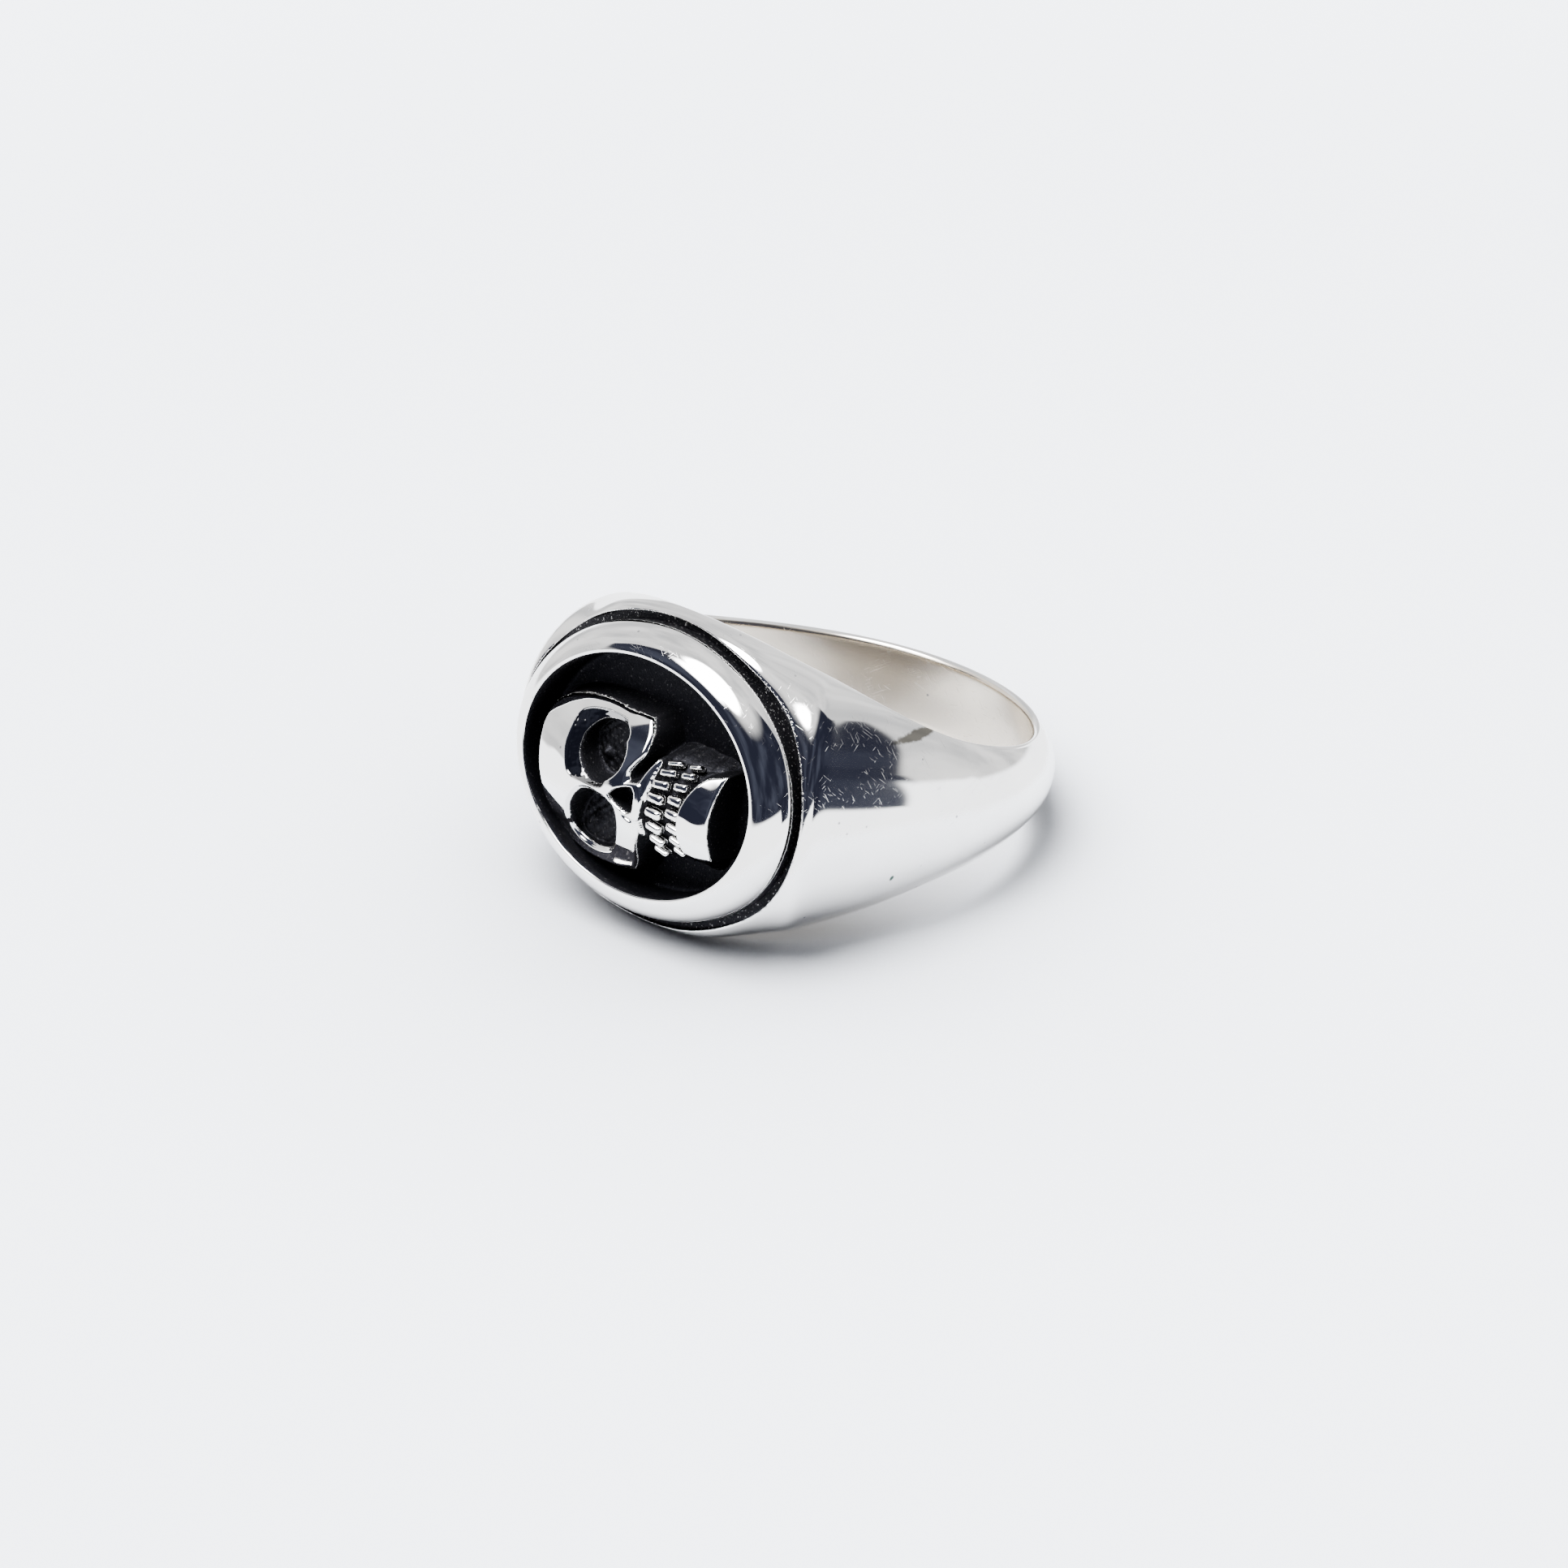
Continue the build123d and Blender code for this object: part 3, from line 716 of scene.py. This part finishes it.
sheet_start, jaw_drop, brow_sink, facet_sink = -0.12, 0.55, 0.05, 0.27
lower_brow_sink, lower_brow_width = 0.16, 0.2
height = np.full(u.shape, sheet_start)
jaw_level = level - jaw_drop + 0.02 * ripple(u, v, size=0.3, seed=21)
height = raise_plate(height, inside_by(u, v, jaw), jaw_level, edge=0.3, wall=0.75)
height = raise_plate(height, inside_by(u, v, cranium) + 0.04, level, edge=0.13, wall=0.42)
in_facet, in_eye = inside_by(u, v, facet), inside_by(u, v, eye_upper)
sink = brow_sink + facet_sink * np.clip(in_facet / (in_facet - in_eye + 1e-6), 0, 1)
sink = sink + 0.006 * ripple(u, v, size=0.3, seed=5)
height = np.where((in_facet > 0) & (in_eye < 0.2), np.minimum(height, level - sink * smooth(in_facet / 0.04)), height)
in_lower = inside_by(u, v, eye_lower)
height = np.minimum(height, level - lower_brow_sink * smooth((in_lower + lower_brow_width) / lower_brow_width))
height = raise_plate(height, inside_by(u, v, nose_plate), level - 0.02, edge=0.1, wall=0.12)
height = raise_plate(height, inside_by(u, v, upper_jaw), level - 0.12, edge=0.12, wall=0.25)
chin_level = level + 0.02 - 0.10 * (v / 2) ** 2 + 0.007 * ripple(u, v, size=1.0, seed=61)
in_chin = inside_by(u, v, chin_plate)
height = raise_plate(height, in_chin, chin_level, edge=0.12, wall=0.14)
print("face and plates", height.shape)

# %% Pits of the eyes and the nose, the knobs in the eyes, and an uneven skin
eye_depth, nose_depth, pit_wall, knob_height, knob_radius = 1.45, 0.9, 0.13, 0.3, 0.2
in_nose = inside_by(u, v, nose) + 0.04
pits = (in_eye, (-1.5, 1.45), eye_depth), (in_lower, (-1.6, -1.75), eye_depth), (in_nose, (0.3, 0), nose_depth)
for depth_in, (pit_u, pit_v), depth in pits:
    pit = face_level(pit_u, pit_v) - depth + 0.02 * ripple(u, v, size=0.6, seed=13)
    height = height + (pit - height) * smooth(depth_in / pit_wall)
for knob_u, knob_v in ((-2.2, 1.0), (-2.3, -2.2)):
    away = np.hypot(u - knob_u, v - knob_v)
    height = height + np.where(away < 3 * knob_radius, knob_height * np.exp(-(away / knob_radius) ** 2), 0)
skin = 0.004 * ripple(u, v, size=1.1, seed=31)
rough_depths = 0.03 * smooth((level - height - 0.4) / 0.3) * ripple(u, v, size=0.35, seed=17)
height += skin + rough_depths
print("relief", height.shape, "from", round(float(height.min()), 2), "to", round(float(height.max()), 2))

# %% Blackness of the relief
# black where deep or steep; a thin film on the facet; the chin plate only at its edge
black_depth, depth_fade, black_slope, slope_fade = 0.2, 0.16, 1.6, 1.5
least_depth, least_fade, facet_film, facet_dark_reflection, chin_edge, chin_edge_black = 0.05, 0.1, 0.15, 0.9, 0.05, 0.6
deep = level - height
slope = np.hypot(*np.gradient(height, step_size))
steep = smooth((slope - black_slope) / slope_fade) * smooth((deep - least_depth) / least_fade)
skull_black = np.maximum(smooth((deep - black_depth) / depth_fade), steep)
on_facet = (in_facet > 0.0) & (in_eye < -0.02)
skull_black = np.where(on_facet, facet_film, skull_black)
skull_black = np.where(in_chin > 0, smooth((chin_edge - in_chin) / chin_edge) * chin_edge_black, skull_black)
print("black share of the relief", round(float(skull_black.mean()), 2))

# %% Close the relief into a shell: a skirt from its border down, and a flat underside
top_sheet = np.stack([u + skull_shift, -(recess_floor + height), v + skull_across], -1)
rows, columns = u.shape
edge_index = np.concatenate([np.arange(columns), columns * np.arange(1, rows) + columns - 1,
                             (rows - 1) * columns + np.arange(columns - 2, -1, -1),
                             columns * np.arange(rows - 2, 0, -1)])
rim_top = top_sheet.reshape(-1, 3)[edge_index]
below = rim_top.copy()
below[:, 1] = -(recess_floor - 0.2)
centre = np.broadcast_to(below.mean(0), below.shape)
shell_points = np.concatenate([top_sheet.reshape(-1, 3), rim_top, below, centre])
around = len(edge_index)
skirt = grid_quads(3, around, False, True) + rows * columns
skull = make_piece("skull", shell_points, np.concatenate([grid_quads(rows, columns), skirt[:, ::-1]]),
                   {"blackness": np.concatenate([skull_black.ravel(), np.ones(3 * around)]),
                    # painted dark reflection: the facet's colour is darkened
                    "painted_dark_reflection": np.concatenate([facet_dark_reflection * on_facet.ravel(), np.zeros(3 * around)]),
                    "sheltered": 1.0},
                   polished_silver)

# %% [markdown]
# The teeth are sixteen small bars in two bowed rows, wide in the middle and
# narrow at the ends. Each is a superellipsoid: a box with rounded edges from
# one formula, cheap in points and softer than a bevelled cube.

# %% Teeth
tooth_height, tooth_sink, tooth_share, tooth_gap = 0.62, 0.42, 0.74, 0.03
row_spread, fan_share, end_shrink, longest_at = 1.15, 1.3, 0.035, 0.1
end_power, side_power, top_power = 0.4, 0.7, 0.75


def rounded(x, power):
    """x raised to a power, with its sign kept."""
    return np.sign(x) * np.abs(x) ** power


def bar(long, wide, high):
    """Rounded box: cosines and sines of two angles, each raised to a power under one, keep their signs."""
    a, b = np.meshgrid(np.linspace(-np.pi, np.pi, 33)[:-1], np.linspace(-np.pi / 2, np.pi / 2, 17), indexing="ij")
    return np.stack([long / 2 * rounded(np.cos(b), end_power) * rounded(np.cos(a), end_power),
                     high / 2 * rounded(np.sin(b), top_power),
                     wide / 2 * rounded(np.cos(b), side_power) * rounded(np.sin(a), end_power)], -1)


def tooth_row(middle, bow, centre, half_span, length, count):
    """Bars along u = middle + bow (v-centre)^2, spaced by a sine so that the middle ones are widest."""
    index = np.arange(count) - (count - 1) / 2
    ends = np.arange(count + 1) - count / 2
    places = centre + half_span * np.sin(index / (count / 2) * row_spread) / math.sin(row_spread)
    edges = centre + half_span * np.sin(ends / (count / 2) * row_spread) / math.sin(row_spread)
    return [(middle + bow * (p - centre) ** 2, p, w * tooth_share - tooth_gap, length,
             math.atan(fan_share * bow * (p - centre))) for p, w in zip(places, np.diff(edges))]


print("a tooth has", bar(1, 1, 1)[..., 0].size, "points")

# %% Place the teeth on the jaw: fanned along their row and leaning with the face
gum_line, gum_fade = 0.02, 0.12
tooth_points, tooth_black = [], []
upper_row = tooth_row(1.81, 0.12, 0.05, 2.1, 0.94, 8)
lower_row = tooth_row(2.80, 0.13, 0.25, 2.0, 0.80, 8)
for du, dv, wide, long, fan in upper_row + lower_row:
    shape = bar(long * (1 - end_shrink * (dv - longest_at) ** 2), wide, tooth_height)
    lean = math.atan(2 * dome_drop * 4 * dv / skull_wide ** 2)
    x = shape[..., 0] * math.cos(fan) - shape[..., 2] * math.sin(fan)
    z = shape[..., 0] * math.sin(fan) + shape[..., 2] * math.cos(fan)
    up, z = shape[..., 1] * math.cos(lean) - z * math.sin(lean), z * math.cos(lean) + shape[..., 1] * math.sin(lean)
    base = recess_floor + face_level(du, dv) - tooth_sink
    tooth_points.append(np.stack([du + skull_shift + x, -(base + up), dv + z + skull_across], -1))
    tooth_black.append(smooth((gum_line - shape[..., 1]) / gum_fade))
shape_rows, shape_columns = tooth_points[0].shape[:2]
quads = grid_quads(shape_rows, shape_columns, True, False)
tooth_quads = np.concatenate([quads + k * shape_rows * shape_columns for k in range(len(tooth_points))])
teeth = make_piece("teeth", np.concatenate([p.reshape(-1, 3) for p in tooth_points]), tooth_quads,
                   {"blackness": np.concatenate([b.ravel() for b in tooth_black]), "sheltered": 1.0},
                   polished_silver)

# %% [markdown]
# The ring lies on plain white paper. The paper fades out far away, so that the
# camera sees no edge. For reflections it fades sooner, and the painted sky
# takes over. A painted shadow deepens the soft shadow under the ring: the
# paper's colour darkens where ambient occlusion finds the ring close.

# %% Floor
paper_half = 0.6
corners = [(x * paper_half, y * paper_half, 0) for x, y in ((-1, -1), (1, -1), (1, 1), (-1, 1))]
floor_mesh = bpy.data.meshes.new("paper")
floor_mesh.from_pydata(corners, [], [(0, 1, 2, 3)])
paper = bpy.data.objects.new("paper", floor_mesh)
bpy.context.scene.collection.objects.link(paper)
white = bpy.data.materials.new("white_paper")
white.use_nodes = True
tree = white.node_tree
shader = tree.nodes["Principled BSDF"]
shader.inputs["Roughness"].default_value = 0.7
shader.inputs["Specular IOR Level"].default_value = 0.2
# painted shadow: the paper's colour goes from lit to shaded where ambient occlusion finds the ring close
shade_reach, shade_power, shaded, lit = 0.026, 1.7, (0.19, 0.19, 0.20), (0.82, 0.86, 0.92)
open_sky = add(tree, "ShaderNodeAmbientOcclusion", Distance=shade_reach, samples=8)
deep_shade = maths(tree, "POWER", open_sky.outputs["AO"], shade_power)
tree.links.new(mix_colour(tree, deep_shade, shaded, lit), shader.inputs["Base Color"])

# %% The paper fades out, sooner for reflections
wide_reach, near_reach = (0.07, 0.13), (0.018, 0.024)
spot = add(tree, "ShaderNodeTexCoord").outputs["Object"]
distance = add(tree, "ShaderNodeVectorMath", operation="LENGTH")
tree.links.new(spot, distance.inputs[0])
ray = add(tree, "ShaderNodeLightPath")
wide_fade = ramp(tree, distance.outputs["Value"], *wide_reach)
near_fade = maths(tree, "MULTIPLY", ramp(tree, distance.outputs["Value"], *near_reach), ray.outputs["Is Glossy Ray"])
fade = maths(tree, "MAXIMUM", wide_fade, near_fade)
clear = add(tree, "ShaderNodeBsdfTransparent")
mix = add(tree, "ShaderNodeMixShader")
tree.links.new(fade, mix.inputs[0])
tree.links.new(shader.outputs[0], mix.inputs[1])
tree.links.new(clear.outputs[0], mix.inputs[2])
tree.links.new(mix.outputs[0], tree.nodes["Material Output"].inputs["Surface"])
floor_mesh.materials.append(white)
print("paper", paper.name)

# %% [markdown]
# Silver shows its surroundings. The real picture was taken on white paper
# with white walls, a bright lamp overhead and the dark room behind the
# camera. Lamps could be set up one by one, but a mirror shows the empty space
# between them, so the whole sky is painted by direction: pale walls, a dark
# room that spans about 150 degrees in front, and two soft lamps above it.

# %% Node group: angle from a direction
nearness, g_in, g_out = new_group("Angle From", [("Direction", "Vector", (0, 0, 1)), ("Centre", "Vector", (0, 0, 1))],
                                  [("Degrees", "Float")])
dot = add(nearness, "ShaderNodeVectorMath", operation="DOT_PRODUCT")
nearness.links.new(g_in.outputs["Direction"], dot.inputs[0])
nearness.links.new(g_in.outputs["Centre"], dot.inputs[1])
apart = maths(nearness, "ARCCOSINE", dot.outputs["Value"], 0)
nearness.links.new(maths(nearness, "MULTIPLY", apart, 180 / math.pi), g_out.inputs["Degrees"])


def toward(azimuth, elevation=0.0):
    """Unit vector at an azimuth, counted from -Y towards +X, and an elevation, in degrees."""
    a, e = math.radians(azimuth), math.radians(elevation)
    return Vector((math.sin(a) * math.cos(e), -math.cos(a) * math.cos(e), math.sin(e)))


# %% World: directions
world = bpy.data.worlds.new("studio")
bpy.context.scene.world = world
world.use_nodes = True
tree = world.node_tree
background = tree.nodes["Background"]
ray = add(tree, "ShaderNodeLightPath")
direction = add(tree, "ShaderNodeTexCoord").outputs["Generated"]
flat_way = add(tree, "ShaderNodeVectorMath", operation="MULTIPLY")
flat_way.inputs[1].default_value = (1, 1, 0)
tree.links.new(direction, flat_way.inputs[0])
level_way = add(tree, "ShaderNodeVectorMath", operation="NORMALIZE")
tree.links.new(flat_way.outputs[0], level_way.inputs[0])
height_of = add(tree, "ShaderNodeSeparateXYZ")
tree.links.new(direction, height_of.inputs[0])
elevation_of = maths(tree, "MULTIPLY", maths(tree, "ARCSINE", height_of.outputs["Z"], 0), 180 / math.pi)
cloud = add(tree, "ShaderNodeTexNoise", Scale=2.6, Detail=3.0)
tree.links.new(direction, cloud.inputs["Vector"])


def degrees_from(way, centre):
    """Angle between a direction socket and a fixed direction."""
    node = add(tree, "ShaderNodeGroup", node_tree=nearness)
    tree.links.new(way, node.inputs["Direction"])
    node.inputs["Centre"].default_value = centre
    return node.outputs["Degrees"]


def below_ramp(value, low, high):
    """1 below low and 0 above high, with a smooth step between."""
    return maths(tree, "SUBTRACT", 1.0, ramp(tree, value, low, high))


print("the room lies toward", [round(c, 2) for c in toward(38)])

# %% World: the dark room, wider higher up, and the doorway below the table's edge
room_middle, room_half, room_spread, room_curve, spread_end = 38, 78.3, 0.45, 0.0135, 26.0
door_middle, door_half, door_slant, side_blur, door_blur = 102, 13.3, 0.25, 0.7, 0.6
room_top, table_line, door_bottom = (50, 66), (-5, -2), (-16, -14)
aside = degrees_from(level_way.outputs[0], toward(room_middle))
up_to = maths(tree, "MINIMUM", maths(tree, "MAXIMUM", elevation_of, 0.0), spread_end)
wider = maths(tree, "MULTIPLY", maths(tree, "ADD", maths(tree, "MULTIPLY", up_to, room_curve), room_spread), up_to)
past_side = ramp(tree, maths(tree, "SUBTRACT", aside, maths(tree, "ADD", wider, room_half)), -side_blur, side_blur)
past_top = ramp(tree, elevation_of, *room_top)
door_edge = maths(tree, "ADD", maths(tree, "MULTIPLY", elevation_of, door_slant), door_half)
door_aside = maths(tree, "SUBTRACT", degrees_from(level_way.outputs[0], toward(door_middle)), door_edge)
past_door = maths(tree, "MAXIMUM", ramp(tree, door_aside, -door_blur, door_blur),
                  below_ramp(elevation_of, *door_bottom))
under_table = maths(tree, "MULTIPLY", below_ramp(elevation_of, *table_line), past_door)
print("room and doorway:", len(tree.nodes), "nodes so far")

# %% World: colours, lamps, and the plain white that the camera sees
dark_corner, dark_middle = (0.026, 0.029, 0.052), (0.085, 0.095, 0.14)
wall_shade, wall_light = (1.1, 1.12, 1.16), (2.0, 2.0, 2.02)
table_white, lamp_white, backdrop = (4.2, 4.3, 4.5), (52.0, 52.0, 52.8), (5.6, 5.9, 6.4)
room_cloud, wall_cloud = (0.42, 0.72), (0.3, 0.7)
# each lamp: azimuth and elevation, then the angles from its middle where it starts and ends to fade
top_lamp_at, top_lamp_fade, side_lamp_at, side_lamp_fade, side_lamp_share = (-20, 76), (14, 22), (-27, 57), (9, 17), 0.5
room = mix_colour(tree, ramp(tree, cloud.outputs["Fac"], *room_cloud), dark_corner, dark_middle)
walls = mix_colour(tree, ramp(tree, cloud.outputs["Fac"], *wall_cloud), wall_shade, wall_light)
sky = mix_colour(tree, maths(tree, "MAXIMUM", past_side, past_top), room, walls)
sky = mix_colour(tree, under_table, sky, table_white)
top_lamp = below_ramp(degrees_from(direction, toward(*top_lamp_at)), *top_lamp_fade)
side_lamp = below_ramp(degrees_from(direction, toward(*side_lamp_at)), *side_lamp_fade)
side_lamp = maths(tree, "MULTIPLY", side_lamp, side_lamp_share)
sky = mix_colour(tree, maths(tree, "MAXIMUM", top_lamp, side_lamp), sky, lamp_white)
seen = mix_colour(tree, ray.outputs["Is Camera Ray"], sky, backdrop)
tree.links.new(seen, background.inputs["Color"])
print("world nodes", len(tree.nodes))

# %% [markdown]
# The camera stands to the right of the head and above it, with a long lens,
# as in the picture. It is placed from angles that were fitted to the ring's
# outlines, so the lens needs no shift.

# %% Camera
azimuth, elevation, roll = math.radians(42.47), math.radians(30.25), math.radians(-1.38)
# distance in millimetres, pixels per millimetre, the hole's middle in the image
away, scale, middle_x, middle_y, image_width = 260.0, 27.23, 1008.94, 903.46, 1932
back = Vector((math.sin(azimuth) * math.cos(elevation), -math.cos(azimuth) * math.cos(elevation), math.sin(elevation)))
level_right = Vector((math.cos(azimuth), math.sin(azimuth), 0))
level_up = back.cross(level_right)
right = level_right * math.cos(roll) + level_up * math.sin(roll)
up = back.cross(right)
half_image = image_width / 2
off_middle = right * (middle_x - half_image) / scale + up * (half_image - middle_y) / scale
stand = Vector(hole_centre) + back * away - off_middle
camera_data = bpy.data.cameras.new("camera")
camera_data.sensor_width = 36
camera_data.lens = camera_data.sensor_width * scale * away / image_width
camera_data.clip_start, camera_data.clip_end = 0.01, 10
camera = bpy.data.objects.new("camera", camera_data)
camera.matrix_world = Matrix.Translation(stand * 0.001) @ Matrix((right, up, back)).transposed().to_4x4()
bpy.context.scene.collection.objects.link(camera)
bpy.context.scene.camera = camera
print("lens", round(camera_data.lens, 1), "mm")
